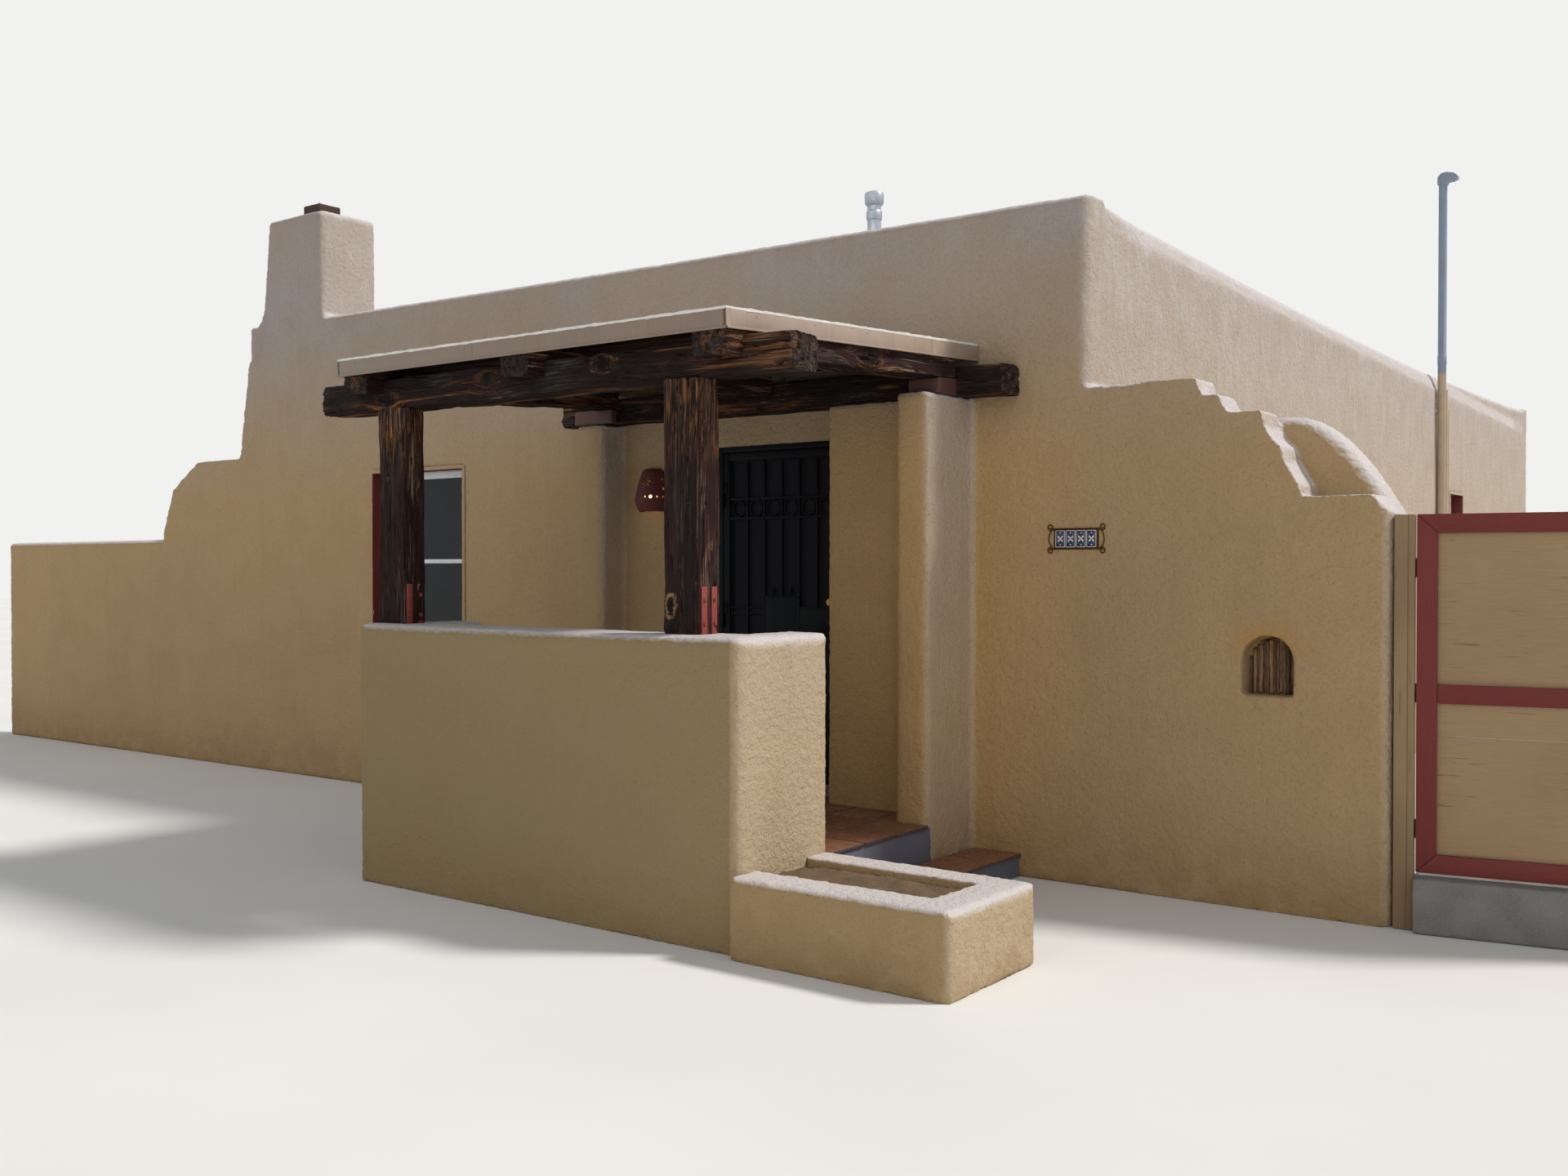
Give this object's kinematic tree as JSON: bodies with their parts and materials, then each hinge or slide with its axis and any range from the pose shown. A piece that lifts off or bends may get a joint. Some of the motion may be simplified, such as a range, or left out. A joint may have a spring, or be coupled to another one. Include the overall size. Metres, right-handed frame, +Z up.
{
  "type": "adobe house",
  "caption": "Single-storey adobe house with parapet roof, chimney, timber portal over a low-walled porch, wing walls and a side gate.",
  "frame": {"origin": "on the ground, at the centre of the main block's footprint", "axes": "+Z up; the entry front faces -Y; the gate is at the +X end"},
  "size_m": [14.9636, 14.61, 5.4898],
  "materials": {
    "stucco": "matte painted stucco on adobe",
    "concrete": "cast concrete",
    "roof_coating": "rolled roof coating",
    "flue_tile": "sooty clay",
    "galvanized": "galvanized sheet",
    "mast_paint": "grey paint",
    "conduit_paint": "painted like the wall",
    "sticks": "bare weathered sticks",
    "saltillo": "clay floor tile",
    "old_timber": "weathered dark stain",
    "red_steel": "red paint",
    "red_wood": "red paint",
    "deck_underside": "painted boards",
    "fascia_metal": "beige paint",
    "black_steel": "black satin paint",
    "brass": "aged",
    "white_vinyl": "white",
    "glass": "clear",
    "terracotta": "painted terracotta",
    "iron": "wrought iron, painted",
    "gate_timber": "painted beige",
    "hinge_steel": "red paint"
  },
  "bodies": {
    "house": {"front_wall_left": "stucco", "front_wall_right": "stucco", "wall_over_door": "stucco", "right_wall": "stucco", "left_wall": "stucco", "rear_wall": "stucco", "chimney": "stucco", "right_wing_wall": "stucco", "curved_wing_wall": "stucco", "left_wing_wall": "stucco", "garden_wall": "stucco", "left_pier": "stucco", "right_pier": "stucco", "entry_side_wall": "stucco", "planter": "stucco", "porch_wall_front": "stucco", "porch_wall_right": "stucco", "porch_wall_left": "stucco", "floor_slab": "concrete", "door_sill": "concrete", "gate_sill": "concrete", "roof_deck": "roof_coating", "chimney_flue": "flue_tile", "roof_vent": "galvanized", "service_mast": "mast_paint", "wall_conduits": "conduit_paint", "niche_sticks": "sticks", "porch_floor": "saltillo", "lower_step": "saltillo", "post_left": "old_timber", "post_right": "old_timber", "front_beam": "old_timber", "rear_beam": "old_timber", "joists": "old_timber", "post_straps": "red_steel", "spacer_blocks": "red_wood", "window_casings": "red_wood", "porch_roof": "deck_underside", "porch_fascia": "fascia_metal", "door_frame": "black_steel", "window_frames": "white_vinyl", "front_window_glass": "glass", "right_window_glass": "glass", "left_window_glass": "glass", "rear_window_glass": "glass", "wall_lamp": "terracotta", "number_plaque": "iron", "gate_hinge_post": "gate_timber", "gate_latch_post": "gate_timber", "gate_hinges": "hinge_steel"},
    "door_leaf": {"security_door": "black_steel", "door_knob": "brass"},
    "gate_leaf": {"gate_frame": "red_wood", "gate_panels": "gate_timber"}
  },
  "joints": [
    {"name": "security_door_hinge", "type": "hinge", "parent": "house", "child": "door_leaf", "pos_m": [1.363, -6.159, 0], "axis": [0, 0, -1], "range_deg": [0, 110]},
    {"name": "gate_hinge", "type": "hinge", "parent": "house", "child": "gate_leaf", "pos_m": [5.53134, -6.08068, 0], "axis": [0, 0, 1], "range_deg": [0, 90]}
  ]
}
